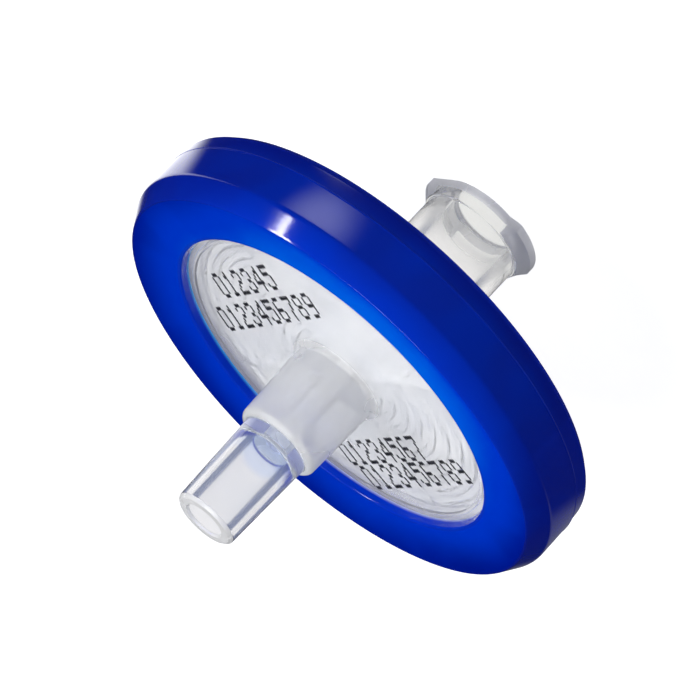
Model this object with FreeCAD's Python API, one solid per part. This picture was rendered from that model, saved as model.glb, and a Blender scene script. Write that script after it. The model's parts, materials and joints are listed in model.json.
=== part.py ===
import FreeCAD, Part
import math
import os

# A disc-shaped syringe filter, standing on the open end of its inlet hub.
# All sizes are in millimetres. +Z runs along the flow axis, from inlet to outlet.
# The origin is the centre of the inlet hub's open end.

# --- Places along the axis, from the inlet end face ---
overall_height = 25.0           # end of the slip tip
membrane_height = 12.0          # middle of the membrane
tip_length = 6.2                # slip tip, from the outlet boss to its end

# --- Widths of the disc, each measured inwards from the one before ---
band_radius = 15.36             # widest part, the ring's band
ring_wall = 2.16                # from the band in to the plates' rims
lip_wall = 0.8                  # inlet plate's locating lip, round the membrane
membrane_side_clearance = 0.1   # between the lip and the membrane's edge
clamp_width = 1.6               # membrane held between the rims
window_margin = 0.5             # window's edge beyond the chamber

# --- Membrane, chambers and plates ---
membrane_thickness = 0.15
chamber_depth = 0.35            # from the membrane to the plate, on each side
plate_thickness = 1.0

# --- Ribs that hold the membrane off the outlet plate ---
support_rib_count = 7
support_rib_width = 0.5
collecting_well_radius = 1.8
radial_channel_count = 4
radial_channel_width = 1.0
first_channel_angle = -27.0     # middle of the first channel, in degrees from +X

# --- Ribs that spread the flow on the inlet plate ---
spreader_rib_count = 12
spreader_rib_width = 0.5
spreader_rib_clearance = 0.1    # between the ribs and the membrane
spreader_rib_margin = 0.8       # from the chamber's wall, and from the inlet passage

# --- Overmoulded ring, heights from the middle of the membrane ---
band_height = 2.3               # whole height of the band
shoulder_run = 0.8              # width of the shoulder on the outlet side
shoulder_line_height = 2.35     # where the shoulder meets the sloping face
shoulder_bulge = 0.05           # of the shoulder beyond a straight slope
window_edge_height = 2.0
window_draft = 0.13             # slope of the window's wall
back_face_height = 2.6          # depth of the flat face on the inlet side
back_draft = 0.12
back_chamfer = 0.45

# --- Outlet boss and slip tip ---
luer_taper = 0.06               # change of diameter per length, both ends
tip_end_radius = 1.98
tip_end_chamfer = 0.2
tip_bore_radius = 1.2
tip_bore_length = 5.6           # to the edge of its cone-shaped floor
tip_mouth_chamfer = 0.12
outlet_passage_radius = 0.6
bore_floor_slope = 0.6          # depth of a bore's floor for each step inwards
boss_step = 0.45                # ledge round the root of the tip
boss_rounding_share = 0.8       # of the ledge taken by the rounding
boss_draft = 0.16               # boss foot beyond its top
boss_foot_chamfer = 0.3

# --- Inlet hub, socket and locking lugs ---
socket_mouth_radius = 2.15
socket_length = 7.6             # to the edge of its cone-shaped floor
socket_mouth_chamfer = 0.12
inlet_passage_radius = 0.8
hub_wall_at_mouth = 1.05
hub_foot_chamfer = 0.4
flange_step = 0.12              # of the flange beyond the hub
flange_height = 1.3
lug_step = 0.58                 # of the lugs beyond the flange
lug_crest_height = 0.6          # axial length of the lug's outer edge
lug_count = 2
first_lug_angle = 122.0         # middle of the first lug, in degrees from +X
lug_arc = 60.0                  # full-radius stretch of each lug, in degrees
lug_back_arc = 14.0             # stretch over which its back sinks into the flange
lug_back_share = 0.2            # of the step left half way down the back

# --- Worked-out radii ---
rim_radius = band_radius - ring_wall
lip_radius = rim_radius - lip_wall
membrane_radius = lip_radius - membrane_side_clearance
chamber_radius = membrane_radius - clamp_width
window_radius = chamber_radius + window_margin
window_foot_radius = window_radius - window_draft
taper_slope = luer_taper / 2
tip_root_radius = tip_end_radius + taper_slope * tip_length
boss_radius = tip_root_radius + boss_step
socket_floor_radius = socket_mouth_radius - taper_slope * socket_length
hub_radius = socket_mouth_radius + hub_wall_at_mouth
flange_radius = hub_radius + flange_step
flange_root_radius = hub_radius - hub_wall_at_mouth / 2
lug_radius = flange_radius + lug_step

# --- Worked-out heights ---
membrane_top = membrane_height + membrane_thickness / 2
membrane_bottom = membrane_height - membrane_thickness / 2
outlet_roof = membrane_top + chamber_depth
outlet_face = outlet_roof + plate_thickness
inlet_floor = membrane_bottom - chamber_depth
inlet_face = inlet_floor - plate_thickness
boss_top = overall_height - tip_length
tip_bore_floor = overall_height - tip_bore_length


def on_section(radius, height):
    """A point of a section drawn at a distance from the axis and a height."""
    return FreeCAD.Vector(radius, 0, height)


def rounded(corner, before, after, rounding):
    """The start, middle and end of the arc that rounds a corner of a section."""
    towards_before = (before - corner).normalize()
    towards_after = (after - corner).normalize()
    half_angle = towards_before.getAngle(towards_after) / 2
    setback = rounding / math.tan(half_angle)
    bisector = (towards_before + towards_after).normalize()
    middle = corner + bisector * (rounding / math.sin(half_angle) - rounding)
    return corner + towards_before * setback, middle, corner + towards_after * setback


def revolved(outline):
    """Turn a closed outline about the axis.

    Each entry is (radius, height), with a rounding as an optional third value.
    ("via", radius, height) between two corners makes an arc through that point.
    """
    corners = [entry for entry in outline if entry[0] != "via"]
    points = [on_section(corner[0], corner[1]) for corner in corners]
    vias = {}
    seen = 0
    for entry in outline:
        if entry[0] == "via":
            vias[seen - 1] = on_section(entry[1], entry[2])
        else:
            seen += 1
    count = len(points)
    arcs = []
    for i, corner in enumerate(corners):
        if len(corner) == 3:
            arcs.append(rounded(points[i], points[i - 1], points[(i + 1) % count], corner[2]))
        else:
            arcs.append((points[i], None, points[i]))
    edges = []
    for i in range(count):
        start = arcs[i][2]
        end = arcs[(i + 1) % count][0]
        if arcs[i][1] is not None:
            edges.append(Part.Arc(*arcs[i]).toNurbs().toShape())
        if i in vias:
            edges.append(Part.Arc(start, vias[i], end).toShape())
        elif start.distanceToPoint(end) > 1e-7:
            edges.append(Part.LineSegment(start, end).toShape())
    face = Part.Face(Part.Wire(edges))
    return face.revolve(FreeCAD.Vector(), FreeCAD.Vector(0, 0, 1), 360)


def tube(inner_radius, outer_radius, low, high):
    """A plain round tube between two heights."""
    foot = FreeCAD.Vector(0, 0, low)
    outside = Part.makeCylinder(outer_radius, high - low, foot)
    return outside.cut(Part.makeCylinder(inner_radius, high - low, foot))


def spoke(inner_radius, outer_radius, width, low, high, angle):
    """A straight bar that points away from the axis at an angle in degrees."""
    corner = FreeCAD.Vector(inner_radius, -width / 2, low)
    bar = Part.makeBox(outer_radius - inner_radius, width, high - low, corner)
    bar.rotate(FreeCAD.Vector(), FreeCAD.Vector(0, 0, 1), angle)
    return bar


def star(count, first_angle, outer_radius, width):
    """Evenly spaced spokes from the axis, over the depth of the outlet chamber."""
    spokes = []
    for i in range(count):
        angle = first_angle + i * 360.0 / count
        spokes.append(spoke(0, outer_radius, width, membrane_top, outlet_roof, angle))
    return spokes[0].fuse(spokes[1:])


def support_grooves():
    """The grooves between the outlet plate's round ribs, drained by radial channels.

    A straight rib midway between two channels ties the round ribs to the rim.
    """
    pitch = (chamber_radius - collecting_well_radius) / support_rib_count
    rings = []
    for i in range(support_rib_count):
        inner = collecting_well_radius + i * pitch + support_rib_width
        outer = collecting_well_radius + (i + 1) * pitch
        rings.append(tube(inner, outer, membrane_top, outlet_roof))
    groove_width = pitch - support_rib_width
    channel_end = chamber_radius - groove_width / 2
    tie_angle = first_channel_angle + 180.0 / radial_channel_count
    ties = star(radial_channel_count, tie_angle, chamber_radius, support_rib_width)
    channels = star(radial_channel_count, first_channel_angle, channel_end, radial_channel_width)
    foot = FreeCAD.Vector(0, 0, membrane_top)
    well = Part.makeCylinder(collecting_well_radius, chamber_depth, foot)
    return well.fuse([channels, rings[0].fuse(rings[1:]).cut(ties)])


def outlet_housing():
    """The clear outlet half: ribbed plate, boss and tapered slip tip."""
    passage_end = tip_bore_floor - bore_floor_slope * (tip_bore_radius - outlet_passage_radius)
    body = revolved([
        (outlet_passage_radius, membrane_top),
        (rim_radius, membrane_top),
        (rim_radius, outlet_face),
        (boss_radius + boss_draft + boss_foot_chamfer, outlet_face),
        (boss_radius + boss_draft, outlet_face + boss_foot_chamfer),
        (boss_radius, boss_top, boss_rounding_share * boss_step),
        (tip_root_radius, boss_top),
        (tip_end_radius + taper_slope * tip_end_chamfer, overall_height - tip_end_chamfer),
        (tip_end_radius - tip_end_chamfer, overall_height),
        (tip_bore_radius + tip_mouth_chamfer, overall_height),
        (tip_bore_radius, overall_height - tip_mouth_chamfer),
        (tip_bore_radius, tip_bore_floor),
        (outlet_passage_radius, passage_end),
    ])
    return body.cut(support_grooves())


def polar(radius, degrees):
    """A point of the flange's outline, at a distance and a direction from the axis."""
    turn = math.radians(degrees)
    return FreeCAD.Vector(radius * math.cos(turn), radius * math.sin(turn), 0)


def lug_outline(middle):
    """One lug seen along the axis: a tangent flat, a round crest and a hollow back."""
    front = middle - lug_arc / 2
    back = middle + lug_arc / 2
    tangent = front - math.degrees(math.acos(flange_radius / lug_radius))
    start = polar(flange_radius, tangent)
    corner = polar(lug_radius, front)
    crest_end = polar(lug_radius, back)
    hollow = polar(flange_radius + lug_back_share * lug_step, back + lug_back_arc / 2)
    finish = polar(flange_radius, back + lug_back_arc)
    return Part.Face(Part.Wire([
        Part.LineSegment(start, corner).toShape(),
        Part.Arc(corner, polar(lug_radius, middle), crest_end).toShape(),
        Part.Arc(crest_end, hollow, finish).toShape(),
        Part.LineSegment(finish, FreeCAD.Vector()).toShape(),
        Part.LineSegment(FreeCAD.Vector(), start).toShape(),
    ]))


def locking_flange():
    """The round flange at the inlet's mouth with its locking lugs."""
    flange = tube(flange_root_radius, flange_radius, 0, flange_height)
    full_lug = revolved([
        (flange_root_radius, 0),
        (lug_radius, 0),
        (lug_radius, lug_crest_height),
        (flange_radius, flange_height),
        (flange_root_radius, flange_height),
    ])
    lugs = []
    for i in range(lug_count):
        outline = lug_outline(first_lug_angle + i * 360.0 / lug_count)
        lugs.append(full_lug.common(outline.extrude(FreeCAD.Vector(0, 0, flange_height))))
    return flange.fuse(lugs)


def inlet_housing():
    """The clear inlet half: plate with spreader ribs and a lugged female hub."""
    passage_start = socket_length + bore_floor_slope * (socket_floor_radius - inlet_passage_radius)
    body = revolved([
        (inlet_passage_radius, passage_start),
        (socket_floor_radius, socket_length),
        (socket_mouth_radius - taper_slope * socket_mouth_chamfer, socket_mouth_chamfer),
        (socket_mouth_radius + socket_mouth_chamfer, 0),
        (hub_radius, 0),
        (hub_radius, inlet_face - hub_foot_chamfer),
        (hub_radius + hub_foot_chamfer, inlet_face),
        (rim_radius, inlet_face),
        (rim_radius, membrane_top),
        (lip_radius, membrane_top),
        (lip_radius, membrane_bottom),
        (chamber_radius, membrane_bottom),
        (chamber_radius, inlet_floor),
        (inlet_passage_radius, inlet_floor),
    ])
    ribs = []
    for i in range(spreader_rib_count):
        ribs.append(spoke(
            inlet_passage_radius + spreader_rib_margin,
            chamber_radius - spreader_rib_margin,
            spreader_rib_width,
            inlet_floor,
            membrane_bottom - spreader_rib_clearance,
            i * 360.0 / spreader_rib_count,
        ))
    return body.fuse([locking_flange(), *ribs]).removeSplitter()


def membrane():
    """The thin filter disc, clamped between the two plates' rims."""
    foot = FreeCAD.Vector(0, 0, membrane_bottom)
    return Part.makeCylinder(membrane_radius, membrane_thickness, foot)


def overmould_ring():
    """The coloured ring that is moulded round both rims and clamps them together."""
    band_top = membrane_height + band_height / 2
    band_bottom = membrane_height - band_height / 2
    shoulder_line = membrane_height + shoulder_line_height
    shoulder_line_radius = band_radius - shoulder_run
    back_face = membrane_height - back_face_height
    return revolved([
        (band_radius, band_bottom),
        (band_radius, band_top),
        ("via", band_radius - shoulder_run / 2 + shoulder_bulge, (band_top + shoulder_line) / 2),
        (shoulder_line_radius, shoulder_line),
        (window_radius, membrane_height + window_edge_height),
        (window_foot_radius, outlet_face),
        (rim_radius, outlet_face),
        (rim_radius, inlet_face),
        (window_foot_radius, inlet_face),
        (window_radius, back_face),
        (band_radius - back_draft - back_chamfer, back_face),
        (band_radius - back_draft, back_face + back_chamfer),
    ])


os.makedirs("parts", exist_ok=True)
outlet_housing().exportStep("parts/outlet_housing.step")
inlet_housing().exportStep("parts/inlet_housing.step")
membrane().exportStep("parts/membrane.step")
overmould_ring().exportStep("parts/overmould_ring.step")
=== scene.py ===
import enum
import json
import logging
import math
from collections.abc import Callable
from dataclasses import dataclass

import bpy
import numpy as np
from mathutils import Matrix, Vector

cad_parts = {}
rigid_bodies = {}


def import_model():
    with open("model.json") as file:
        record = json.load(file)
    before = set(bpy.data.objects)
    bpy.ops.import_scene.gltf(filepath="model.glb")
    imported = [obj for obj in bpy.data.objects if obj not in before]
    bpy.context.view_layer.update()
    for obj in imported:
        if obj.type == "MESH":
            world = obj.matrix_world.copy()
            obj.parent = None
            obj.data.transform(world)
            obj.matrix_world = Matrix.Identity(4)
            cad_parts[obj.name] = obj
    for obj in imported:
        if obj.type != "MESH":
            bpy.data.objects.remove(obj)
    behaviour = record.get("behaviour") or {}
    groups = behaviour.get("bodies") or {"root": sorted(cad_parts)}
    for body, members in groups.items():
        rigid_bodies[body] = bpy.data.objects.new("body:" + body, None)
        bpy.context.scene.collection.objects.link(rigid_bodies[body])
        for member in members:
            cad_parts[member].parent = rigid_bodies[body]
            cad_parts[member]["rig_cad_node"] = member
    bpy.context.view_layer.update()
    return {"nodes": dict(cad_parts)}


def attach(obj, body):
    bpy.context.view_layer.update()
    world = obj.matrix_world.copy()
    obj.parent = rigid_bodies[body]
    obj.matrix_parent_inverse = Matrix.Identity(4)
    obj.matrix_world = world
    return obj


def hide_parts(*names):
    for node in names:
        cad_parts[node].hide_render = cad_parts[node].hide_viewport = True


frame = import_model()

# The looks of a disc-shaped syringe filter. Shapes are worked out in millimetres and
# go into the meshes in metres. +Z is the flow axis, and the filter stands on its hub.

log = logging.getLogger("syringe_filter")

Piece = bpy.types.Object
Material = bpy.types.Material
Node = bpy.types.Node
Socket = bpy.types.NodeSocket
Inputs = dict[int | str, object]        # what a node's inputs get, by number or name
Triple = tuple[float, float, float]     # a colour, a place or a direction
Relief = Callable[[np.ndarray, np.ndarray], np.ndarray]     # a height at radius and angle

MM = 0.001
SECTORS = 384               # steps round the axis
HAIR_GAP = 0.01             # air between faces that touch, so that they stay two faces
NEAR = 0.05                 # how far past a limit a face's middle still counts
SHARP_ANGLE = math.radians(38.0)
WHITE: Triple = (1.0, 1.0, 1.0)


class Slot(enum.Enum):
    """The record's names for the finishes."""

    RING = "ring_blue"
    HOUSING = "clear_housing"
    MEMBRANE = "membrane_white"


# --- Shapes ---


def smooth_step(share: np.ndarray) -> np.ndarray:
    """Ease a share from 0 to 1.

    Formula: three times the square minus twice the cube, held between 0 and 1.

    Args:
        share: values that rise past 0 and 1.

    Returns:
        The eased values, level at both ends.
    """
    held = np.clip(share, 0.0, 1.0)
    return held * held * (3.0 - 2.0 * held)


def bar_share(
    radius: np.ndarray, angle: np.ndarray, count: int, first: float, width: float, edge: float
) -> np.ndarray:
    """How far each point lies within one of some evenly spaced straight bars.

    Formula: each bar's middle line runs out from the axis, and an eased step crosses
    the bar's edge at half its width from that line.

    Args:
        radius: distances from the axis.
        angle: directions, in radians.
        count: how many bars there are.
        first: the direction of one of them, in degrees.
        width: a bar's width.
        edge: the width of its edge.

    Returns:
        Shares from 0, outside, to 1, within.
    """
    turn = 2.0 * math.pi / count
    off = np.mod(angle - math.radians(first) + turn / 2.0, turn) - turn / 2.0
    sideways = np.abs(radius * np.sin(off)) - width / 2.0
    return 1.0 - smooth_step(sideways / edge + 0.5)


@dataclass(frozen=True)
class Corner:
    """One corner of a section: distance from the axis, height and rounding, in mm."""

    radius: float
    height: float
    rounding: float = 0.0
    steps: int = 6

    def point(self) -> np.ndarray:
        """The corner as (radius, height)."""
        return np.array([self.radius, self.height])

    def rounded(self, before: "Corner", after: "Corner") -> np.ndarray:
        """Points that replace the corner by an arc, with a short flat at each side.

        Formula: the arc's centre lies on the corner's bisector, rounding / sin(half
        the corner's angle) away, and the arc turns evenly between its tangent points.

        Args:
            before: the corner before this one.
            after: the corner after it.

        Returns:
            The points as rows of (radius, height).
        """
        tip = self.point()
        if self.rounding == 0.0:
            return tip[None, :]
        back, on = before.point() - tip, after.point() - tip
        back, on = back / np.linalg.norm(back), on / np.linalg.norm(on)
        half = math.acos(float(np.clip(back @ on, -1.0, 1.0))) / 2.0
        setback = self.rounding / math.tan(half)
        middle = tip + (back + on) / np.linalg.norm(back + on) * self.rounding / math.sin(half)
        start = tip + back * setback - middle
        end = tip + on * setback - middle
        turn = math.atan2(start[0] * end[1] - start[1] * end[0], float(start @ end))
        angles = np.linspace(0.0, turn, self.steps + 1)
        arc = middle + np.stack([
            start[0] * np.cos(angles) - start[1] * np.sin(angles),
            start[0] * np.sin(angles) + start[1] * np.cos(angles),
        ], axis=1)
        flat = 0.25 * self.rounding
        return np.vstack([arc[0] + back * flat, arc, arc[-1] + on * flat])


def traced(*sizes: tuple[float, ...]) -> np.ndarray:
    """A closed section with its corners rounded.

    Args:
        sizes: each corner's radius and height, then its rounding and steps if it has them.

    Returns:
        Its points as rows of (radius, height).
    """
    corners = [Corner(*size) for size in sizes]
    following = corners[1:] + corners[:1]
    return np.vstack([
        corner.rounded(corners[i - 1], following[i]) for i, corner in enumerate(corners)
    ])


def new_piece(name: str, mesh: bpy.types.Mesh) -> Piece:
    """Put a mesh into the scene as an object of its own.

    Args:
        name: the object's name.
        mesh: its mesh.

    Returns:
        The object, at the origin.
    """
    piece = bpy.data.objects.new(name, mesh)
    bpy.context.scene.collection.objects.link(piece)
    return piece


@dataclass
class Turned:
    """A closed section carried round the axis, as arrays that may still be changed.

    radius and height have one row for each step round the axis, at angle, and one
    column for each point of the section.
    """

    angle: np.ndarray
    radius: np.ndarray
    height: np.ndarray

    @classmethod
    def about_axis(cls, section: np.ndarray) -> "Turned":
        """Carry a section round the axis.

        Formula: each point keeps its radius and height at evenly spaced angles.

        Args:
            section: rows of (radius, height) in mm.

        Returns:
            The turned surface.
        """
        angle = np.linspace(0.0, 2.0 * math.pi, SECTORS, endpoint=False)
        ones = np.ones((SECTORS, 1))
        return cls(angle, ones * section[:, 0], ones * section[:, 1])

    @classmethod
    def with_relief(
        cls, outline: np.ndarray, radii: np.ndarray, level: float, relief: Relief
    ) -> "Turned":
        """Carry a section round the axis, with a relief on its last stretch.

        Formula: the last points lie at one level, each lifted by the relief at its
        radius and angle.

        Args:
            outline: the section's other points, as rows of (radius, height) in mm.
            radii: the last points' radii.
            level: their height before the relief.
            relief: the lift from radius and angle.

        Returns:
            The turned surface.
        """
        stretch = np.stack([radii, np.full_like(radii, level)], axis=1)
        turned = cls.about_axis(np.vstack([outline, stretch]))
        last = np.s_[:, -len(radii):]
        turned.height[last] += relief(turned.radius[last], turned.angle[:, None])
        return turned

    def points(self) -> np.ndarray:
        """Work out the surface's points.

        Returns:
            Rows of (x, y, z) in metres.
        """
        cos, sin = np.cos(self.angle)[:, None], np.sin(self.angle)[:, None]
        grid = np.stack([self.radius * cos, self.radius * sin, self.height], axis=2)
        return grid.reshape(-1, 3) * MM

    def quads(self) -> np.ndarray:
        """Join the points into faces, closed both ways and facing outwards.

        Formula: the faces are turned over where the section's doubled area, the sum
        of radius x next height - height x next radius, is below zero.

        Returns:
            Four-sided faces, as rows of point numbers.
        """
        rows, columns = self.radius.shape
        r = np.arange(rows)[:, None]
        c = np.arange(columns)[None, :]
        on_r, on_c = (r + 1) % rows, (c + 1) % columns
        quads = np.stack([
            r * columns + c, on_r * columns + c, on_r * columns + on_c, r * columns + on_c,
        ], axis=2).reshape(-1, 4)
        radius, height = self.radius[0], self.height[0]
        area = radius @ np.roll(height, -1) - height @ np.roll(radius, -1)
        return quads if area > 0.0 else quads[:, ::-1]

    def piece(self, name: str) -> Piece:
        """Put the surface into a new object.

        Args:
            name: the piece's name.

        Returns:
            The object, with smooth faces and its hard edges kept sharp.
        """
        points, quads = self.points(), self.quads()
        mesh = bpy.data.meshes.new(name)
        mesh.vertices.add(len(points))
        mesh.vertices.foreach_set("co", points.astype(np.float32).ravel())
        mesh.loops.add(quads.size)
        mesh.loops.foreach_set("vertex_index", quads.astype(np.int32).ravel())
        mesh.polygons.add(len(quads))
        mesh.polygons.foreach_set("loop_start", np.arange(0, quads.size, 4, dtype=np.int32))
        mesh.update(calc_edges=True)
        mesh.validate()
        mesh.shade_smooth()
        mesh.set_sharp_from_angle(angle=SHARP_ANGLE)
        return new_piece(name, mesh)


def dress(piece: Piece, slot: Slot, *finishes: Material) -> None:
    """Give a piece its materials and the body it moves with, and log its record slot.

    Args:
        piece: the object.
        slot: the record's finish.
        finishes: its materials, first slot first.
    """
    piece.data.materials.clear()
    for finish in finishes:
        piece.data.materials.append(finish)
    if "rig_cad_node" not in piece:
        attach(piece, "root")
    triangles = sum(len(face.vertices) - 2 for face in piece.data.polygons)
    log.info("%s: %d triangles, %s", piece.name, triangles, slot.value)


def face_places(piece: Piece) -> tuple[np.ndarray, np.ndarray]:
    """Where a piece's faces lie.

    Args:
        piece: the object.

    Returns:
        Each face's distance from the axis and its height, in mm.
    """
    centres = np.empty(len(piece.data.polygons) * 3)
    piece.data.polygons.foreach_get("center", centres)
    centres = centres.reshape(-1, 3) / MM
    return np.hypot(centres[:, 0], centres[:, 1]), centres[:, 2]


def sort_finishes(piece: Piece, numbers: np.ndarray) -> None:
    """Give each face of a piece the finish that its number says."""
    piece.data.polygons.foreach_set("material_index", numbers.astype(np.int32))


# --- Finishes ---


@dataclass(frozen=True)
class Ramp:
    """A smooth change from start to end, as another value goes from low to high."""

    low: float
    high: float
    start: float = 0.0
    end: float = 1.0


PATCH_NOISE = Ramp(0.35, 0.65)


class NodeCanvas:
    """A few short ways to add and join nodes in one node tree."""

    def __init__(self, tree: bpy.types.NodeTree) -> None:
        """Start on a tree, which is emptied."""
        self.tree = tree
        tree.nodes.clear()

    def feed(self, node: Node, inputs: Inputs) -> None:
        """Set inputs of a node.

        Args:
            node: the node.
            inputs: for each, a socket to link, or a plain value or RGB colour.
        """
        for key, value in inputs.items():
            target = node.inputs[key]
            if isinstance(value, Socket):
                self.tree.links.new(value, target)
            else:
                target.default_value = (*value, 1.0) if target.type == "RGBA" else value

    def add(self, kind: str, inputs: Inputs | None = None, **values: object) -> Node:
        """Add a node.

        Args:
            kind: the node's type, without ShaderNode at its front.
            inputs: what its inputs get.
            values: its properties.

        Returns:
            The node.
        """
        node = self.tree.nodes.new(kind if kind.startswith("Node") else "ShaderNode" + kind)
        for name, value in values.items():
            setattr(node, name, value)
        self.feed(node, inputs or {})
        return node

    def maths(self, operation: str, *inputs: object) -> Socket:
        """Add a Math node, with a socket or a number for each input, and give its output."""
        return self.add("Math", dict(enumerate(inputs)), operation=operation).outputs[0]

    def ramp(self, value: Socket, ramp: Ramp) -> Socket:
        """Carry a value along a ramp, without overshoot."""
        return self.add("MapRange", {
            "Value": value, "From Min": ramp.low, "From Max": ramp.high,
            "To Min": ramp.start, "To Max": ramp.end,
        }, interpolation_type="SMOOTHSTEP").outputs["Result"]

    def blend(
        self, share: Socket, first: object, second: object, unbounded: bool = False
    ) -> Socket:
        """Mix two colours, sockets or RGB, by a share that may be let past the second."""
        inputs = {0: share, 6: first, 7: second}
        return self.add("Mix", inputs, data_type="RGBA", clamp_factor=not unbounded).outputs[2]

    def axes(self, place: Socket) -> bpy.types.NodeOutputs:
        """The x, y and z of a place."""
        return self.add("SeparateXYZ", {0: place}).outputs

    def distance(self, place: Socket) -> Socket:
        """How far a place is from the origin."""
        return self.add("VectorMath", {0: place}, operation="LENGTH").outputs["Value"]


def new_group(
    name: str, given: dict[str, float], made: tuple[str, ...]
) -> tuple[NodeCanvas, bpy.types.NodeOutputs, Node]:
    """Begin a node group that works on a place.

    Args:
        name: its name.
        given: its inputs after Place, with their first values.
        made: its outputs.

    Returns:
        Its canvas, the sockets of its inputs, and the node that takes its outputs.
    """
    tree = bpy.data.node_groups.new(name, "ShaderNodeTree")
    sockets = tree.interface
    sockets.new_socket("Place", in_out="INPUT", socket_type="NodeSocketVector")
    for key, value in given.items():
        made_input = sockets.new_socket(key, in_out="INPUT", socket_type="NodeSocketFloat")
        made_input.default_value = value
    for key in made:
        sockets.new_socket(key, in_out="OUTPUT", socket_type="NodeSocketFloat")
    canvas = NodeCanvas(tree)
    return canvas, canvas.add("NodeGroupInput").outputs, canvas.add("NodeGroupOutput")


def moulded_skin_group() -> bpy.types.NodeTree:
    """The faint unevenness of a moulded plastic skin, for every plastic here.

    Inputs: Place, Wave Scale, Grain Scale, Grain Share. Outputs: Height, a mix of long
    waves and fine grain, and Patches, broad soft patches from 0 to 1.

    Returns:
        The node group.
    """
    sizes = {"Wave Scale": 150.0, "Grain Scale": 3000.0, "Grain Share": 0.3}
    canvas, given, result = new_group("moulded_skin", sizes, ("Height", "Patches"))
    waves, grain = (
        canvas.add("TexNoise", {
            "Vector": given["Place"], "Scale": given[scale], "Detail": octaves,
        }).outputs["Fac"]
        for scale, octaves in (("Wave Scale", 1.0), ("Grain Scale", 2.0))
    )
    fine = canvas.maths("MULTIPLY", grain, given["Grain Share"])
    canvas.feed(result, {
        "Height": canvas.maths("ADD", waves, fine), "Patches": canvas.ramp(waves, PATCH_NOISE),
    })
    return canvas.tree


def axis_distance_group() -> bpy.types.NodeTree:
    """How far a point is between two radii about the axis.

    Inputs: Place, Inner and Outer in metres. Output: Share, 0 at Inner and 1 at Outer.

    Returns:
        The node group.
    """
    canvas, given, result = new_group("axis_distance", {"Inner": 0.0, "Outer": 0.0}, ("Share",))
    across = {0: given["Place"], 1: (1.0, 1.0, 0.0)}
    flat = canvas.add("VectorMath", across, operation="MULTIPLY").outputs["Vector"]
    share = canvas.add("MapRange", {
        "Value": canvas.distance(flat), "From Min": given["Inner"], "From Max": given["Outer"],
    })
    canvas.feed(result, {"Share": share.outputs["Result"]})
    return canvas.tree


@dataclass(frozen=True)
class SkinTexture:
    """Sizes of a moulded skin: waves and grain per metre, and how deep they are."""

    wave_scale: float = 150.0
    grain_scale: float = 3000.0
    grain_share: float = 0.3
    depth: float = 0.00002
    strength: float = 0.4


@dataclass(frozen=True)
class Blank:
    """A plastic with a moulded skin, ready for its colours."""

    material: Material
    canvas: NodeCanvas
    place: Socket           # the object's own coordinates
    patches: Socket         # the skin's broad patches, from 0 to 1
    shader: Node
    output: Node
    reach_group: bpy.types.NodeTree

    def reach(self, inner: float, outer: float) -> Socket:
        """The share of the way from an inner to an outer radius, in mm."""
        inputs = {"Place": self.place, "Inner": inner * MM, "Outer": outer * MM}
        return self.canvas.add("Group", inputs, node_tree=self.reach_group).outputs["Share"]


@dataclass(frozen=True)
class FinishShop:
    """Begins this object's materials, from two shared node groups."""

    skin: bpy.types.NodeTree
    reach: bpy.types.NodeTree

    def blank(self, name: str, texture: SkinTexture) -> Blank:
        """Begin a material, whose Principled node is bumped with the moulded skin.

        Args:
            name: its name.
            texture: its skin's sizes.

        Returns:
            The material in the making.
        """
        material = bpy.data.materials.new(name)
        material.use_nodes = True
        canvas = NodeCanvas(material.node_tree)
        place = canvas.add("TexCoord").outputs["Object"]
        skin = canvas.add("Group", {
            "Place": place, "Wave Scale": texture.wave_scale,
            "Grain Scale": texture.grain_scale, "Grain Share": texture.grain_share,
        }, node_tree=self.skin).outputs
        bump = canvas.add("Bump", {
            "Distance": texture.depth, "Strength": texture.strength, "Height": skin["Height"],
        })
        shader = canvas.add("BsdfPrincipled", {"Normal": bump.outputs["Normal"]})
        output = canvas.add("OutputMaterial", {"Surface": shader.outputs["BSDF"]})
        return Blank(material, canvas, place, skin["Patches"], shader, output, self.reach)


@dataclass(frozen=True)
class PatchyFinish:
    """A matt finish whose colour and roughness change softly from patch to patch."""

    name: str
    first: Triple
    second: Triple
    roughness: Ramp
    texture: SkinTexture

    def material(self, shop: FinishShop) -> Material:
        """Build the material.

        Args:
            shop: the maker of the shared parts.

        Returns:
            The material.
        """
        blank = shop.blank(self.name, self.texture)
        blank.canvas.feed(blank.shader, {
            "Base Color": blank.canvas.blend(blank.patches, self.first, self.second),
            "Roughness": blank.canvas.ramp(blank.patches, self.roughness),
        })
        return blank.material


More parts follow.
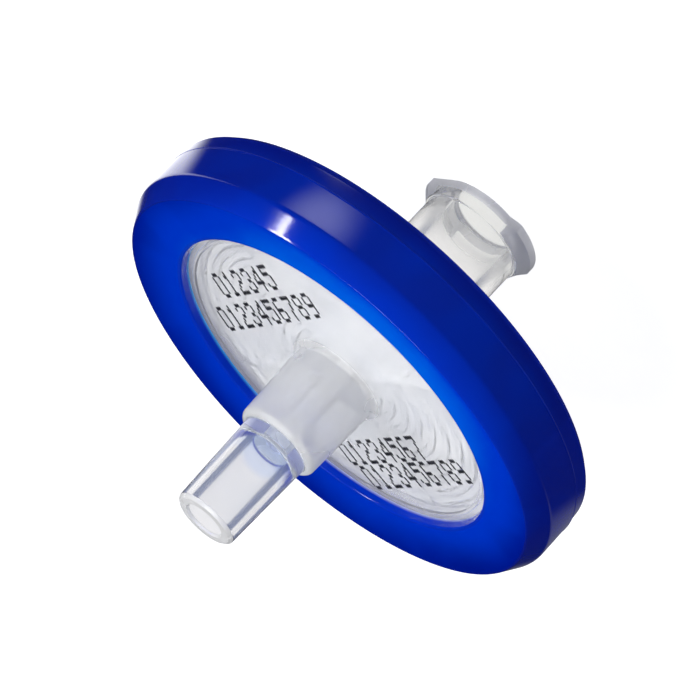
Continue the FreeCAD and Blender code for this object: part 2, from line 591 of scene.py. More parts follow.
@dataclass(frozen=True)
class RingFinish:
    """Glossy blue plastic that lets a little light in where it is thinnest.

    The blue goes from its lightest through its middle to its deep colour as its depth
    rises from 0 to 1. The depth starts at first_depth and changes from patch to patch.
    Its changes along x, y and z, in metres, and between pairs of radii, in mm, are
    painted light and shade: lighter towards +x, darker outwards, towards -y and
    underneath, with a painted glow at the foot of the window's wall.
    """

    name: str = "glossy_blue_ring"
    texture: SkinTexture = SkinTexture(220.0, 2600.0, 0.16, strength=0.3)
    # The blue's lightest colour, which only the painted light reaches.
    lit_blue: Triple = (0.0, 0.12, 0.82)
    middle: Triple = (0.0, 0.036, 0.61)
    deep: Triple = (0.0, 0.0095, 0.29)
    to_middle: Ramp = Ramp(0.0, 0.5)
    to_deep: Ramp = Ramp(0.5, 1.0)
    first_depth: float = 0.35
    # Painted light: the blue is lighter towards +x by this much per metre.
    painted_light_along_x: float = -15.0                # per metre
    # Painted shade: the blue darkens outwards between these radii, more towards +x.
    face: tuple[float, float] = (11.0, 15.36)
    outward_painted_shade: Ramp = Ramp(-0.012, -0.004, 0.42, 0.64)     # along x
    # Painted light: the blue is lighter towards the front along x, most within the first radius
    # and least past the second.
    rim: tuple[float, float] = (13.6, 15.4)
    painted_light_by_rim: Ramp = Ramp(0.0, 1.0, 0.34, 0.04)
    front: Ramp = Ramp(0.005, 0.0145)           # along x
    # Painted shade: the blue is darker towards -y and underneath.
    painted_side_shade: Ramp = Ramp(-0.016, -0.006, 0.12, 0.0)      # along y
    painted_under_shade: Ramp = Ramp(0.0098, 0.0112, 0.2, 0.0)      # along z
    patch_depth: Ramp = Ramp(0.0, 1.0, -0.03, 0.03)
    # A painted glow on the window's wall: azure towards +y, pale lavender towards -y, within the
    # wall's radius and below 13.43 mm, fading out by 13.63 mm.
    glow: Triple = (0.06, 0.42, 1.0)
    painted_pale_glow: Triple = (0.45, 0.5, 0.85)
    painted_glow_side: Ramp = Ramp(-0.002, 0.004)       # along y
    lip: tuple[float, float] = (11.25, 11.2)
    painted_glow_top: Ramp = Ramp(0.01343, 0.01363, 1.0, 0.0)       # along z
    lip_shine: tuple[float, float] = (11.45, 11.32)
    shoulder: tuple[float, float] = (14.42, 14.52)
    gloss: Ramp = Ramp(0.0, 1.0, 0.0, 0.5)
    roughness: Ramp = Ramp(0.0, 1.0, 0.08, 0.13)
    light_share: float = 0.15
    light_depth: float = 0.0012
    light_reach: Triple = (0.1, 0.35, 1.0)

    def pigment_and_painted_light(self, blank: Blank) -> Socket:
        """The blue, painted darker outwards, at the back and underneath, and painted azure
        at the window's foot.

        Args:
            blank: the material in the making.

        Returns:
            The colour's socket.
        """
        canvas = blank.canvas
        x, y, z = canvas.axes(blank.place)
        # Painted shade: darker outwards, more towards +x.
        painted_shade_rate = canvas.ramp(x, self.outward_painted_shade)
        depth = canvas.maths("MULTIPLY_ADD", blank.reach(*self.face), painted_shade_rate, self.first_depth)
        # Painted light: lighter towards +x.
        depth = canvas.maths("MULTIPLY_ADD", x, self.painted_light_along_x, depth)
        # Painted shade towards -y and underneath, and the plastic's own tone from patch to patch.
        for value, ramp in (
            (y, self.painted_side_shade), (z, self.painted_under_shade), (blank.patches, self.patch_depth),
        ):
            depth = canvas.maths("ADD", depth, canvas.ramp(value, ramp))
        # Painted light: lighter towards the front along x.
        rim = canvas.ramp(blank.reach(*self.rim), self.painted_light_by_rim)
        painted_front_light = canvas.maths("MULTIPLY", canvas.ramp(x, self.front), rim)
        depth = canvas.maths("SUBTRACT", depth, painted_front_light)
        light = canvas.blend(canvas.ramp(depth, self.to_middle), self.lit_blue, self.middle)
        blue = canvas.blend(canvas.ramp(depth, self.to_deep), light, self.deep)
        # Painted glow on the window's wall, azure towards +y and pale lavender towards -y.
        foot = canvas.maths("MULTIPLY", blank.reach(*self.lip), canvas.ramp(z, self.painted_glow_top))
        glow = canvas.blend(canvas.ramp(y, self.painted_glow_side), self.painted_pale_glow, self.glow)
        return canvas.blend(foot, blue, glow)

    def material(self, shop: FinishShop) -> Material:
        """Build the material, which shines on the band, the shoulder and the window's wall.

        Args:
            shop: the maker of the shared parts.

        Returns:
            The material.
        """
        blank = shop.blank(self.name, self.texture)
        canvas = blank.canvas
        wall = blank.reach(*self.lip_shine)
        shiny = canvas.maths("MAXIMUM", blank.reach(*self.shoulder), wall)
        canvas.feed(blank.shader, {
            "Base Color": self.pigment_and_painted_light(blank),
            "Roughness": canvas.ramp(blank.patches, self.roughness),
            "Specular IOR Level": canvas.ramp(shiny, self.gloss),
            "Subsurface Weight": self.light_share,
            "Subsurface Radius": self.light_reach,
            "Subsurface Scale": self.light_depth,
        })
        return blank.material


@dataclass(frozen=True)
class ClearFinish:
    """Clear plastic, with as much white haze as its clearness leaves out.

    glow is the share of the light that spreads inside it. A painted reflection, in the
    given tint, colours it below a given height, fading over a given span, both in mm. A
    ray that has turned more often than most_turns goes straight on, so that no light is
    trapped in the plastic.
    """

    name: str
    tint: Triple = (0.97, 0.975, 0.985)
    shade: Triple = (0.93, 0.94, 0.965)
    clearness: float = 1.0
    roughness: float = 0.03
    roughness_spread: tuple[float, float] = (0.6, 1.5)
    refraction: float = 1.49
    strength: float = 0.25
    glow: float = 0.0
    glow_depth: float = 0.002
    painted_reflection: Triple = WHITE
    painted_reflection_top: float = 0.0
    painted_reflection_fade: float = 0.5
    most_turns: float = 5.5

    def material(self, shop: FinishShop) -> Material:
        """Build the material, which lets lamps through to what lies behind it.

        Args:
            shop: the maker of the shared parts.

        Returns:
            The material.
        """
        texture = SkinTexture(wave_scale=260.0, grain_share=0.1, strength=self.strength)
        blank = shop.blank(self.name, texture)
        canvas = blank.canvas
        colour = canvas.blend(blank.patches, self.tint, self.shade)
        # Painted reflection: the given tint below a height, fading out upwards.
        if self.painted_reflection_top:
            low = Ramp((self.painted_reflection_top - self.painted_reflection_fade) * MM, self.painted_reflection_top * MM, 1.0, 0.0)
            height = canvas.axes(blank.place)["Z"]
            colour = canvas.blend(canvas.ramp(height, low), colour, self.painted_reflection)
        dull = Ramp(0.0, 1.0, *(self.roughness * share for share in self.roughness_spread))
        canvas.feed(blank.shader, {
            "Base Color": colour,
            "Roughness": canvas.ramp(blank.patches, dull),
            "IOR": self.refraction,
            "Transmission Weight": self.clearness,
            "Subsurface Weight": self.glow,
            "Subsurface Radius": WHITE,
            "Subsurface Scale": self.glow_depth,
        })
        path = canvas.add("LightPath").outputs
        lamps = canvas.maths("MULTIPLY", path["Is Shadow Ray"], self.clearness)
        spent = canvas.maths("GREATER_THAN", path["Ray Depth"], self.most_turns)
        mix = canvas.add("MixShader", {
            0: canvas.maths("MAXIMUM", lamps, spent),
            1: blank.shader.outputs["BSDF"],
            2: canvas.add("BsdfTransparent", {"Color": self.tint}).outputs["BSDF"],
        })
        canvas.feed(blank.output, {"Surface": mix.outputs["Shader"]})
        return blank.material


PLATE = ClearFinish("clear_plate", clearness=0.72, refraction=1.195, roughness=0.11, strength=0.1)
BOSS = ClearFinish(
    "milky_boss", tint=WHITE, shade=(0.98, 0.985, 0.985), clearness=0.5, roughness=0.2, glow=0.6
)
# The tip's bluish tint below 20.6 mm is a painted reflection of the blue ring.
TIP = ClearFinish(
    "clear_tip", clearness=0.94, roughness=0.08, painted_reflection=(0.78, 0.85, 1.0), painted_reflection_top=20.6
)
TIP_END = ClearFinish(
    "frosted_end", tint=(0.93, 0.93, 0.935), shade=(0.87, 0.87, 0.88),
    clearness=0.2, roughness=0.3, strength=0.5,
)
HUB = ClearFinish(
    "clear_hub", tint=(0.99, 0.99, 0.98), shade=(0.96, 0.96, 0.955),
    clearness=0.96, roughness=0.05,
)
FLANGE_RIM = ClearFinish(
    "frosted_rim", tint=(0.9, 0.9, 0.92), shade=(0.7, 0.7, 0.73),
    clearness=0.45, roughness=0.3, strength=0.5,
)
MEMBRANE = PatchyFinish(
    "porous_membrane", (0.93, 0.93, 0.925), (0.85, 0.85, 0.855), Ramp(0.0, 1.0, 0.8, 0.95),
    SkinTexture(500.0, 9000.0, 1.0, strength=0.5),
)
INK = PatchyFinish(
    "printed_ink", (0.003, 0.003, 0.008), (0.02, 0.021, 0.035), Ramp(0.0, 1.0, 0.45, 0.65),
    SkinTexture(1500.0, 9000.0, strength=0.2),
)


# --- Sub-assemblies ---


@dataclass
class ClampRing:
    """The blue ring that clamps the two clear halves. Sizes in mm."""

    band_radius: float = 15.36
    band_low: float = 10.85
    band_high: float = 13.15
    shoulder_radius: float = 14.56
    shoulder_height: float = 14.35
    window_radius: float = 11.2
    window_height: float = 14.0
    foot_radius: float = 11.07
    inner_radius: float = 13.2
    upper_lip: float = 13.425
    lower_lip: float = 10.575
    back_height: float = 9.4
    back_radius: float = 15.24
    back_chamfer: float = 0.45
    witness_height: float = 0.03
    witness_width: float = 0.08

    def build(self) -> Piece:
        """Turn the ring's section about the axis, with its edges and mould lines rounded.

        Returns:
            The ring.
        """
        tall, wide = self.witness_height, self.witness_width
        upper, lower = self.upper_lip + HAIR_GAP, self.lower_lip - HAIR_GAP
        return Turned.about_axis(traced(
            (self.band_radius - wide, self.band_low - wide, 0.03, 3),
            (self.band_radius, self.band_low, 0.02, 4),
            (self.band_radius - tall, self.band_low + wide, 0.03, 3),
            (self.band_radius - tall, self.band_high, 0.55, 10),
            (self.shoulder_radius + wide, self.shoulder_height - wide, 0.03, 3),
            (self.shoulder_radius, self.shoulder_height + tall, 0.03, 4),
            (self.shoulder_radius - wide, self.shoulder_height - tall / 2.0, 0.03, 3),
            (self.window_radius, self.window_height, 0.12, 8),
            (self.foot_radius, upper),
            (self.inner_radius, upper),
            (self.inner_radius, lower),
            (self.foot_radius, lower),
            (self.window_radius, self.back_height, 0.2, 8),
            (self.back_radius - self.back_chamfer, self.back_height, 0.25, 8),
            (self.back_radius, self.back_height + self.back_chamfer, 0.25, 8),
        )).piece("clamp_ring")

    def dress(self, piece: Piece, finish: Material) -> None:
        """Give the ring its blue finish in place of the CAD ring."""
        dress(piece, Slot.RING, finish)
        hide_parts("overmould_ring")


@dataclass
class OutletShell:
    """The clear outlet half: ribbed plate, milky boss and tapered tip. Sizes in mm."""

    under: float = 12.075
    face: float = 13.425
    rim_radius: float = 13.2
    chamber_radius: float = 10.7
    chamber_depth: float = 0.35
    well_radius: float = 1.8
    rib_count: int = 9
    rib_share: float = 0.5
    rib_edge: float = 0.13
    channel_count: int = 4
    channel_width: float = 1.0
    first_channel: float = -27.0
    bead_radius: float = 10.62
    bead_width: float = 0.3
    bead_height: float = 0.07
    foot_radius: float = 2.776
    foot_chamfer: float = 0.3
    boss_radius: float = 2.616
    boss_top: float = 18.8
    boss_sink: float = 0.8      # how far under the plate's face the boss is milky
    root_radius: float = 2.166
    tip_end_radius: float = 1.98
    tip_end: float = 25.0
    tip_slope: float = 0.03
    end_chamfer: float = 0.2
    bore_radius: float = 1.2
    bore_floor: float = 19.4
    bore_chamfer: float = 0.12
    cone_depth: float = 0.36
    passage_radius: float = 0.6
    frost_margin: float = 0.02

    def pitch(self) -> tuple[float, float]:
        """The step from one round rib to the next, and the groove's part of it."""
        pitch = (self.chamber_radius - self.well_radius) / self.rib_count
        return pitch, pitch * (1.0 - self.rib_share)

    def groove_depth(self, radius: np.ndarray, angle: np.ndarray) -> np.ndarray:
        """How deep the underside is cut at each point.

        Formula: within a pitch, the depth rises and falls by eased steps beside each
        round rib. It is full in the middle well and in the radial channels, and
        nothing outside the chamber.

        Args:
            radius: distances from the axis.
            angle: directions, in radians.

        Returns:
            Depths in mm, from 0 at the membrane.
        """
        pitch, groove = self.pitch()
        place = np.mod(radius - self.well_radius, pitch)
        rising = smooth_step(place / self.rib_edge)
        falling = smooth_step((place - groove) / self.rib_edge)
        well = 1.0 - smooth_step((radius - self.well_radius) / self.rib_edge)
        channels = bar_share(
            radius, angle, self.channel_count, self.first_channel, self.channel_width,
            self.rib_edge,
        )
        depth = np.maximum(np.maximum(1.0 - rising + falling, well), channels)
        depth *= 1.0 - smooth_step((radius - self.chamber_radius) / self.rib_edge + 1.0)
        return depth * (self.chamber_depth - HAIR_GAP)

    def under_radii(self) -> np.ndarray:
        """Radii of the underside's points, closer together at the ribs' edges.

        Returns:
            The radii from the passage out to the rim.
        """
        pitch, groove = self.pitch()
        step = self.rib_edge * np.array([0.0, 0.25, 0.5, 0.75, 1.0])
        within = np.concatenate([step, [(self.rib_edge + groove) / 2.0], groove + step])
        starts = self.well_radius + pitch * np.arange(self.rib_count)
        ribs = (starts[:, None] + within[None, :]).ravel()
        inner = np.linspace(self.passage_radius + 0.05, self.well_radius - 0.15, 5)
        outer = self.chamber_radius - self.rib_edge + step
        rim = np.linspace(self.chamber_radius + 0.3, self.rim_radius - 0.1, 5)
        return np.unique(np.round(np.concatenate([inner, ribs, outer, rim]), 4))

    def outline(self) -> np.ndarray:
        """The half's section without its underside.

        Returns:
            The points as rows of (radius, height).
        """
        top, end, rim = self.face, self.tip_end, self.rim_radius - HAIR_GAP
        bead, crest = self.bead_width / 2.0, self.face + self.bead_height
        return traced(
            (rim, self.under + HAIR_GAP),
            (rim, top),
            (self.bead_radius + bead, top, 0.05, 3),
            (self.bead_radius + bead / 2.0, crest, 0.05, 3),
            (self.bead_radius - bead / 2.0, crest, 0.05, 3),
            (self.bead_radius - bead, top, 0.05, 3),
            (self.foot_radius + self.foot_chamfer, top, 0.3, 6),
            (self.foot_radius, top + self.foot_chamfer, 0.3, 6),
            (self.boss_radius, self.boss_top, 0.36, 10),
            (self.root_radius, self.boss_top, 0.08, 4),
            (
                self.tip_end_radius + self.tip_slope * self.end_chamfer,
                end - self.end_chamfer, 0.14, 5,
            ),
            (self.tip_end_radius - self.end_chamfer, end, 0.08, 5),
            (self.bore_radius + self.bore_chamfer, end, 0.05, 4),
            (self.bore_radius, end - self.bore_chamfer, 0.06, 4),
            (self.bore_radius, self.bore_floor, 0.2, 5),
            (self.passage_radius, self.bore_floor - self.cone_depth, 0.08, 4),
            (self.passage_radius, self.under + self.chamber_depth, 0.1, 4),
        )

    def build(self) -> Piece:
        """Turn the section and cut the grooves into its underside."""
        return Turned.with_relief(
            self.outline(), self.under_radii(), self.under + HAIR_GAP, self.groove_depth
        ).piece("outlet_shell")

    def dress(self, piece: Piece, *finishes: Material) -> None:
        """Dress the plate, the boss, the tip and its end, each in its own clearness.

        Args:
            piece: the outlet half.
            finishes: the finishes of those four, in that order.
        """
        dress(piece, Slot.HOUSING, *finishes)
        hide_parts("outlet_housing")
        reach, height = face_places(piece)
        on_boss = reach < self.foot_radius + self.foot_chamfer + NEAR
        on_boss &= height > self.face - self.boss_sink
        on_tip = (height > self.boss_top - NEAR) & (reach < self.root_radius + NEAR)
        on_end = height > self.tip_end - self.end_chamfer - self.frost_margin
        sort_finishes(piece, np.where(on_end, 3, np.where(on_tip, 2, np.where(on_boss, 1, 0))))


@dataclass
class InletShell:
    """The clear inlet half: plate, hub, flange and two locking lugs. Sizes in mm."""

    rim_top: float = 12.075
    clamp_face: float = 11.925
    floor: float = 11.575
    face: float = 10.575
    rim_radius: float = 13.2
    lip_radius: float = 12.4
    chamber_radius: float = 10.7
    rib_count: int = 12
    rib_width: float = 0.5
    rib_height: float = 0.25
    rib_edge: float = 0.18
    rib_margin: float = 0.8
    passage_radius: float = 0.8
    passage_start: float = 8.273
    socket_floor_radius: float = 1.922
    socket_length: float = 7.6
    socket_mouth_radius: float = 2.15
    mouth_chamfer: float = 0.12
    hub_radius: float = 3.2
    hub_foot: float = 0.4
    flange_radius: float = 3.32
    flange_height: float = 1.3
    lug_radius: float = 3.9
    lug_crest: float = 0.6
    lug_count: int = 2
    first_lug: float = 122.0
    lug_arc: float = 60.0
    lug_back: float = 14.0
    lug_depth: float = 0.3      # how far inside the flange the lugs' push fades out
    frost_inset: float = 0.1
    frost_low: float = 0.04
    frost_lug: float = 0.08

    def lug_reach(self, angle: np.ndarray) -> np.ndarray:
        """How far the lugs stand out beyond the flange in each direction.

        Formula: a flat that touches the flange rises as radius / cos(angle from where
        it touches) up to the crest, the crest is round, and the back sinks by an eased
        step.

        Args:
            angle: directions, in radians.

        Returns:
            The lugs' reach beyond the flange, in mm.
        """
        rise = math.acos(self.flange_radius / self.lug_radius)
        start = math.radians(self.first_lug - self.lug_arc / 2.0) - rise
        on = np.mod(angle - start, 2.0 * math.pi / self.lug_count)
        crest_end = rise + math.radians(self.lug_arc)
        flat = self.flange_radius / np.cos(np.minimum(on, rise))
        back = smooth_step((on - crest_end) / math.radians(self.lug_back))
        return (flat - self.flange_radius) * (1.0 - back)

    def rib_ends(self) -> tuple[float, float]:
        """The radii between which the plate's ribs run."""
        return self.passage_radius + self.rib_margin, self.chamber_radius - self.rib_margin

    def spreader_height(self, radius: np.ndarray, angle: np.ndarray) -> np.ndarray:
        """Height of the radial ribs above the inlet plate.

        Formula: eased steps beside each rib's middle line and at its two ends.

        Args:
            radius: distances from the axis.
            angle: directions, in radians.

        Returns:
            Heights in mm.
        """
        first, last = self.rib_ends()
        across = bar_share(radius, angle, self.rib_count, 0.0, self.rib_width, self.rib_edge)
        along = smooth_step((radius - first) / self.rib_edge)
        along = along * (1.0 - smooth_step((radius - last) / self.rib_edge))
        return self.rib_height * across * along

    def plate_radii(self) -> np.ndarray:
        """Radii of the plate's points, closer together at the ribs' ends.

        Returns:
            The radii from the rim in to the passage.
        """
        first, last = self.rib_ends()
        edge = self.rib_edge * np.array([1.0, 0.67, 0.33, 0.0])
        between = np.linspace(last - 0.3, first + 0.4, 26)
        return np.concatenate([last + edge, between, first + edge])

    def outline(self) -> np.ndarray:
        """The half's section without its plate.

        Returns:
            The points as rows of (radius, height).
        """
        rim, clamp = self.rim_radius - HAIR_GAP, self.clamp_face - HAIR_GAP
        return traced(
            (self.passage_radius, self.floor, 0.08, 3),
            (self.passage_radius, self.passage_start, 0.1, 4),
            (self.socket_floor_radius, self.socket_length, 0.25, 6),
            (self.socket_mouth_radius, self.mouth_chamfer, 0.06, 3),
            (self.socket_mouth_radius + self.mouth_chamfer, 0.0, 0.05, 3),
            (self.flange_radius, 0.0, 0.1, 5),
            (self.flange_radius, self.lug_crest),
            (self.flange_radius, self.flange_height, 0.05, 4),
            (self.hub_radius, self.flange_height, 0.05, 4),
            (self.hub_radius, self.face - self.hub_foot, 0.3, 5),
            (self.hub_radius + self.hub_foot, self.face, 0.3, 5),
            (rim, self.face),
            (rim, self.rim_top),
            (self.lip_radius, self.rim_top),
            (self.lip_radius, clamp),
            (self.chamber_radius, clamp, 0.05, 3),
            (self.chamber_radius, self.floor, 0.08, 3),
        )

    def build(self) -> Piece:
        """Turn the section, raise the ribs and push out the lugs.

        Formula: a point of the flange moves out by the lugs' reach, whole up to the
        crest's height and less and less up to the flange's.

        Returns:
            The inlet half.
        """
        turned = Turned.with_relief(
            self.outline(), self.plate_radii(), self.floor, self.spreader_height
        )
        radius, height = turned.radius[0], turned.height[0]
        on_flange = (radius > self.hub_radius + 0.02) & (height < self.flange_height)
        fade = (self.flange_height - height) / (self.flange_height - self.lug_crest)
        share = np.where(on_flange, np.clip(fade, 0.0, 1.0), 0.0)
        share = share * np.clip(1.0 - (self.flange_radius - radius) / self.lug_depth, 0.0, 1.0)
        turned.radius += self.lug_reach(turned.angle)[:, None] * share
        return turned.piece("inlet_shell")

    def dress(self, piece: Piece, clear: Material, frosted: Material) -> None:
        """Dress the half in clear plastic and the flange's rim in a frosted one.

        Args:
            piece: the inlet half.
            clear: the half's finish.
            frosted: the finish of the flange's rim.
        """
        dress(piece, Slot.HOUSING, clear, frosted)
        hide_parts("inlet_housing")
        reach, height = face_places(piece)
        on_rim = (reach > self.hub_radius + self.frost_inset) & (height > self.frost_low)
        on_rim &= (height < self.lug_crest + NEAR) | (reach > self.flange_radius + self.frost_lug)
        on_rim &= height < self.flange_height
        sort_finishes(piece, on_rim)


@dataclass
class FilterMembrane:
    """The white membrane, whose CAD disc is shown as it is."""

    node: str = "membrane"

    def dress(self, finish: Material) -> None:
        """Give the CAD disc its white finish."""
        dress(frame["nodes"][self.node], Slot.MEMBRANE, finish)


DIGIT_DOTS: dict[str, str] = {
    "0": ".###. #...# #...# #...# #...# #...# .###.",
    "1": "..#.. .##.. ..#.. ..#.. ..#.. ..#.. .###.",
    "2": ".###. #...# ....# ..##. .#... #.... #####",
    "3": ".###. #...# ....# ..##. ....# #...# .###.",
    "4": "...#. ..##. .#.#. #..#. ##### ...#. ...#.",
    "5": "##### #.... ####. ....# ....# #...# .###.",
    "6": ".###. #.... #.... ####. #...# #...# .###.",
    "7": "##### ....# ...#. ...#. ..#.. ..#.. ..#..",
    "8": ".###. #...# #...# .###. #...# #...# .###.",
    "9": ".###. #...# #...# .#### ....# ....# .###.",
}


@dataclass(frozen=True)
class PrintedRow:
    """One row of plain digits: its text, where it starts and how far it leans."""

    text: str
    start: tuple[float, float]
    lean: float


@dataclass
class InkMarks:
    """Rows of plain digits in small ink dots on the window. Sizes in mm."""

    face: float = 13.425
    thickness: float = 0.015
    dot_radius: float = 0.1
    dot_stretch: float = 1.8
    dot_top: float = 0.72       # the flat top's share of the radius
    column_pitch: float = 0.19
    row_pitch: float = 0.27
    letter_pitch: float = 1.25
    direction: float = -16.5
    sides: int = 8
    rows: tuple[PrintedRow, ...] = (
        PrintedRow("012345", (-2.4, 7.9), 58.0),
        PrintedRow("0123456789", (-5.9, 6.5), 58.0),
        PrintedRow("01234567", (-8.3, -4.1), 66.0),
        PrintedRow("0123456789", (-8.5, -6.1), 72.0),
    )

    def dot_centres(self, row: PrintedRow) -> np.ndarray:
        """Where one row's dots lie.

        Formula: start + along x (letter and column steps) + up x (row steps), with up
        leaning from the row's direction.

        Args:
            row: the row of digits.

        Returns:
            The dots' places as rows of (x, y), in mm.
        """
        places = np.array([
            (letter * self.letter_pitch + column * self.column_pitch, 6 - line)
            for letter, digit in enumerate(row.text)
            for line, dots in enumerate(DIGIT_DOTS[digit].split())
            for column, dot in enumerate(dots)
            if dot == "#"
        ])
        along = math.radians(self.direction)
        up = math.radians(row.lean)
        return (
            np.array(row.start)
            + places[:, :1] * np.array([math.cos(along), math.sin(along)])
            + places[:, 1:] * self.row_pitch * np.array([math.cos(up), math.sin(up)])
        )

    def build(self) -> Piece:
        """Make every dot a low closed drop of ink.

        Formula: a foot ring and a smaller ring above it, stretched along the letters'
        strokes, each closed by a point in its middle.

        Returns:
            The printing.
        """
        by_row = [self.dot_centres(row) for row in self.rows]
        centres = np.vstack(by_row)
        leans = np.repeat([math.radians(row.lean) for row in self.rows], [len(c) for c in by_row])
        angle = np.linspace(0.0, 2.0 * math.pi, self.sides, endpoint=False)
        rings = np.array([[0.0, 0.0], [1.0, 0.0], [self.dot_top, 1.0], [0.0, 1.0]])
        reach = self.dot_radius * rings[:, 0]
        u = reach[:, None] * np.cos(angle) * self.dot_stretch
        v = reach[:, None] * np.sin(angle)
        cos, sin = np.cos(leans)[:, None, None], np.sin(leans)[:, None, None]
        x = centres[:, 0, None, None] + u * cos - v * sin
        y = centres[:, 1, None, None] + u * sin + v * cos
        z = self.face + HAIR_GAP + self.thickness * rings[:, 1, None]
        points = np.stack([x, y, np.broadcast_to(z, x.shape)], axis=3)
        poles = points[:, [0, 3], 0]
        shell = points[:, 1:3].reshape(len(centres), 2 * self.sides, 3)
        return self.drops(np.concatenate([shell, poles], axis=1) * MM)

    def drops(self, points: np.ndarray) -> Piece:
        """Join the dots' points into closed faces.

        Args:
            points: for each dot, its two rings, then its lower and upper middle.

        Returns:
            The printing's object.
        """
        n = self.sides
        i = np.arange(n)
        on = (i + 1) % n
        low, high = np.full(n, 2 * n), np.full(n, 2 * n + 1)
        sides = np.stack([i, on, n + on, n + i], axis=1)
        under = np.stack([on, i, low], axis=1)
        over = np.stack([n + i, n + on, high], axis=1)
        shift = (np.arange(len(points)) * (2 * n + 2))[:, None, None]
        quads = (sides[None] + shift).reshape(-1, 4).tolist()
        triangles = (np.vstack([under, over])[None] + shift).reshape(-1, 3).tolist()
        mesh = bpy.data.meshes.new("ink_marks")
        mesh.from_pydata(points.reshape(-1, 3).tolist(), [], quads + triangles)
        mesh.update()
        return new_piece("ink_marks", mesh)

    def dress(self, piece: Piece, finish: Material) -> None:
        """Give the printing its ink, and keep its shadow off the membrane."""
        dress(piece, Slot.HOUSING, finish)
        piece.visible_shadow = False


# --- Stage ---


@dataclass(frozen=True)
class SoftBox:
    """A studio lamp aimed at the object: direction to it, and sizes in metres.

    One that is only_mirrored is an oval card that glossy faces show and that lights
    nothing else. Its shine fades outwards, over shares of its size from its middle.
    """

    name: str
    direction: Triple
    distance: float
    size: tuple[float, float]
    watts: float
    only_mirrored: bool = False
    fade: Ramp = Ramp(0.05, 0.5, 1.0, 0.0)

    def build(self, aim: Vector) -> None:
        """Place the lamp.

        Args:
            aim: the point it faces.
        """
        lamp = bpy.data.lights.new(self.name, "AREA")
        lamp.shape = "ELLIPSE" if self.only_mirrored else "RECTANGLE"
        lamp.size, lamp.size_y = self.size
        lamp.energy = self.watts
        holder = bpy.data.objects.new(self.name, lamp)
        away = Vector(self.direction).normalized()
        holder.location = aim + away * self.distance
        holder.rotation_mode = "QUATERNION"
        holder.rotation_quaternion = away.to_track_quat("Z", "Y")
        holder.visible_camera = False
        holder.visible_diffuse = holder.visible_transmission = not self.only_mirrored
        if self.only_mirrored:
            self.soften(lamp)
        bpy.context.scene.collection.objects.link(holder)

    def soften(self, lamp: bpy.types.AreaLight) -> None:
        """Fade the lamp from its middle to its edge, by an eased step.

        Args:
            lamp: the lamp.
        """
        lamp.use_nodes = True
        canvas = NodeCanvas(lamp.node_tree)
        off_middle = canvas.add("VectorMath", {
            0: canvas.add("NewGeometry").outputs["Parametric"], 1: (0.5, 0.5, 0.0),
        }, operation="DISTANCE").outputs["Value"]
        shine = canvas.add("Emission", {"Strength": canvas.ramp(off_middle, self.fade)})
        canvas.add("OutputLight", {"Surface": shine.outputs["Emission"]})


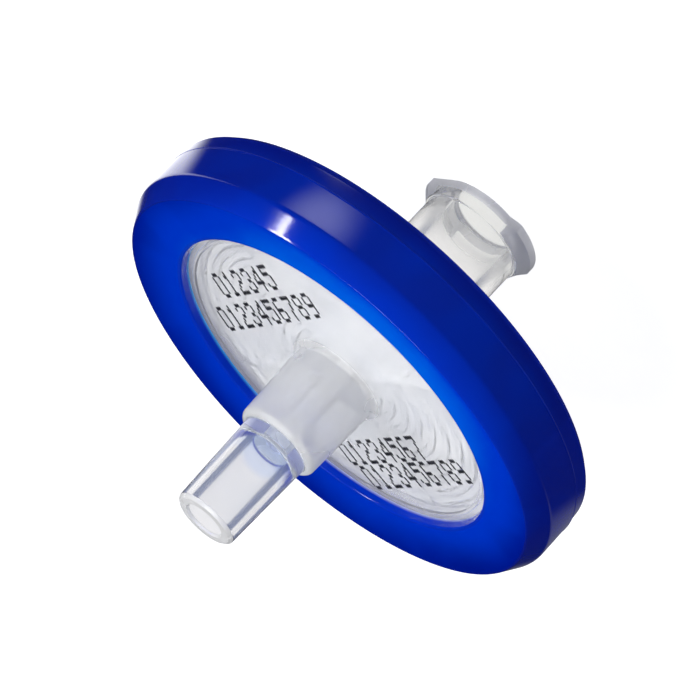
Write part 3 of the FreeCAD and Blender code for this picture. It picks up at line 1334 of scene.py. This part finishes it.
@dataclass(frozen=True)
class PaleFloor:
    """A plain pale floor that shows as white and keeps the object's shadow.

    Clear plastic sees it as a white table round the object's foot that dims outwards,
    with a card behind the object. Glossy faces see it dark, with a bright stretch
    further back. Sizes are in metres.
    """

    half: float = 3.0
    drop: float = 0.00002
    colour: Triple = (0.6, 0.6, 0.61)
    brightness: float = 0.85
    unlit: Ramp = Ramp(0.009, 0.014)            # with the distance from the foot
    foot_glow: Triple = (1.0, 1.0, 0.98)
    near_glow: Triple = (0.66, 0.66, 0.67)
    far_glow: Triple = (0.22, 0.26, 0.41)
    foot_to_near: Ramp = Ramp(0.0045, 0.006)
    near_to_far: Ramp = Ramp(0.008, 0.017)
    card_white: Triple = (1.12, 1.10, 1.09)
    card_slope: float = 0.6
    card_side: Ramp = Ramp(0.001, 0.012, 1.0, 0.0)
    card_front: Ramp = Ramp(-0.009, -0.003, 1.0, 0.0)       # along x
    dark: Triple = (0.01, 0.012, 0.02)
    stretch_front: Ramp = Ramp(-0.021, -0.013, 2.1, 0.0)    # along x
    stretch_back: Ramp = Ramp(-0.07, -0.04)     # along x
    stretch_side: Ramp = Ramp(-0.01, 0.01, 0.09, 1.0)       # along y
    first_bounce: float = 1.5                   # deeper rays have been in the plastic

    def seen_through(self, canvas: NodeCanvas, place: Socket, away: Socket) -> Socket:
        """The floor as clear plastic shows it.

        Args:
            canvas: the material's canvas.
            place: the object's coordinates.
            away: the distance from the foot.

        Returns:
            The colour's socket.
        """
        x, y, _ = canvas.axes(place)
        table = canvas.blend(canvas.ramp(away, self.near_to_far), self.near_glow, self.far_glow)
        table = canvas.blend(canvas.ramp(away, self.foot_to_near), self.foot_glow, table)
        aside = canvas.maths("MULTIPLY_ADD", x, self.card_slope, canvas.maths("ABSOLUTE", y))
        side, front = canvas.ramp(aside, self.card_side), canvas.ramp(x, self.card_front)
        return canvas.blend(canvas.maths("MULTIPLY", side, front), table, self.card_white)

    def mirrored(self, canvas: NodeCanvas, place: Socket) -> Socket:
        """The floor as glossy faces show it.

        Args:
            canvas: the material's canvas.
            place: the object's coordinates.

        Returns:
            The colour's socket.
        """
        x, y, _ = canvas.axes(place)
        bright = canvas.ramp(x, self.stretch_front)
        for along, ramp in ((x, self.stretch_back), (y, self.stretch_side)):
            bright = canvas.maths("MULTIPLY", bright, canvas.ramp(along, ramp))
        return canvas.blend(bright, self.dark, WHITE, unbounded=True)

    def material(self) -> Material:
        """Build the material: lit like any pale floor, with glow enough to show as white.

        Returns:
            The material.
        """
        material = bpy.data.materials.new("pale_floor")
        material.use_nodes = True
        canvas = NodeCanvas(material.node_tree)
        path = canvas.add("LightPath").outputs
        place = canvas.add("TexCoord").outputs["Object"]
        away = canvas.distance(place)
        bounced = canvas.maths("GREATER_THAN", path["Ray Depth"], self.first_bounce)
        through = canvas.maths("MAXIMUM", bounced, path["Is Transmission Ray"])
        plastic = canvas.maths("MAXIMUM", path["Is Glossy Ray"], path["Is Transmission Ray"])
        in_plastic = canvas.blend(
            through, self.mirrored(canvas, place), self.seen_through(canvas, place, away)
        )
        unlit = canvas.maths("MULTIPLY", path["Is Diffuse Ray"], canvas.ramp(away, self.unlit))
        lit = canvas.maths("SUBTRACT", 1.0, unlit)
        shader = canvas.add("BsdfPrincipled", {
            "Base Color": canvas.blend(plastic, self.colour, self.dark),
            "Roughness": 0.9,
            "Specular IOR Level": 0.1,
            "Emission Color": canvas.blend(plastic, WHITE, in_plastic),
            "Emission Strength": canvas.maths("MULTIPLY", lit, self.brightness),
        })
        canvas.add("OutputMaterial", {"Surface": shader.outputs["BSDF"]})
        return material

    def build(self) -> None:
        """Make the floor."""
        half, z = self.half, -self.drop
        mesh = bpy.data.meshes.new("floor")
        corners = [(-half, -half, z), (half, -half, z), (half, half, z), (-half, half, z)]
        mesh.from_pydata(corners, [], [(0, 1, 2, 3)])
        mesh.materials.append(self.material())
        floor = new_piece("floor", mesh)


@dataclass
class Studio:
    """Plain white floor, plain soft light and the camera. Places are in metres."""

    aim: Triple = (0.0, 0.0, 0.0125)
    camera_place: Triple = (0.216868, 0.000582, 0.095659)
    camera_right: Triple = (0.24765, -0.72879, -0.63841)
    camera_up: Triple = (0.26358, 0.68477, -0.67945)
    camera_back: Triple = (0.93231, 0.0, 0.36167)
    lens: float = 209.6
    sky: Triple = (0.93, 0.95, 1.0)
    sky_light: float = 0.27     # on matt faces
    sky_through: float = 0.45   # through clear plastic
    sky_least: float = 0.02     # in glossy faces
    boxes: tuple[SoftBox, ...] = (
        SoftBox("key_box", (0.267, 0.749, 0.606), 0.5, (0.075, 0.12), 0.75),
        SoftBox("top_box", (0.05, 0.1, 0.99), 0.6, (0.3, 0.3), 0.6),
        SoftBox("near_box", (0.42, 0.03, 0.9), 0.056, (0.03, 0.03), 0.009),
        SoftBox("side_card", (0.718, 0.6535, -0.244), 0.0381, (0.024, 0.006), 0.001, True),
        SoftBox("low_card", (0.647, 0.673, -0.36), 0.0306, (0.012, 0.0025), 0.00015, True),
    )

    def camera(self) -> None:
        """Make the scene's camera from its place and its three axes."""
        data = bpy.data.cameras.new("camera")
        data.lens = self.lens
        data.clip_start, data.clip_end = 0.01, 10.0
        holder = bpy.data.objects.new("camera", data)
        axes = np.array([self.camera_right, self.camera_up, self.camera_back, self.camera_place])
        placed = np.eye(4)
        placed[:3, :] = axes.T
        holder.matrix_world = Matrix(placed.tolist())
        bpy.context.scene.collection.objects.link(holder)
        bpy.context.scene.camera = holder

    def surroundings(self) -> None:
        """Make the world: soft grey light, dim in reflections and white behind all."""
        world = bpy.data.worlds.new("surroundings")
        bpy.context.scene.world = world
        world.use_nodes = True
        canvas = NodeCanvas(world.node_tree)
        path = canvas.add("LightPath").outputs
        level = canvas.maths(
            "MULTIPLY_ADD", path["Is Diffuse Ray"], self.sky_light, path["Is Camera Ray"]
        )
        level = canvas.maths("MULTIPLY_ADD", path["Is Transmission Ray"], self.sky_through, level)
        level = canvas.maths("MAXIMUM", level, self.sky_least)
        background = canvas.add("Background", {"Color": self.sky, "Strength": level})
        canvas.add("OutputWorld", {"Surface": background.outputs["Background"]})

    def build(self) -> None:
        """Make the camera, the floor, the lamps and the world."""
        self.camera()
        PaleFloor().build()
        for box in self.boxes:
            box.build(Vector(self.aim))
        self.surroundings()
        bpy.context.scene.view_settings.view_transform = "Standard"


def main() -> None:
    """Build every piece in order, dress it and set the stage."""
    logging.basicConfig(level=logging.INFO, format="%(name)s %(message)s")
    shop = FinishShop(moulded_skin_group(), axis_distance_group())
    Studio().build()

    ring, outlet, inlet, ink = ClampRing(), OutletShell(), InletShell(), InkMarks()
    ring.dress(ring.build(), RingFinish().material(shop))
    clear = [finish.material(shop) for finish in (PLATE, BOSS, TIP, TIP_END)]
    outlet.dress(outlet.build(), *clear)
    inlet.dress(inlet.build(), HUB.material(shop), FLANGE_RIM.material(shop))
    FilterMembrane().dress(MEMBRANE.material(shop))
    ink.dress(ink.build(), INK.material(shop))


if __name__ == "__main__":
    main()
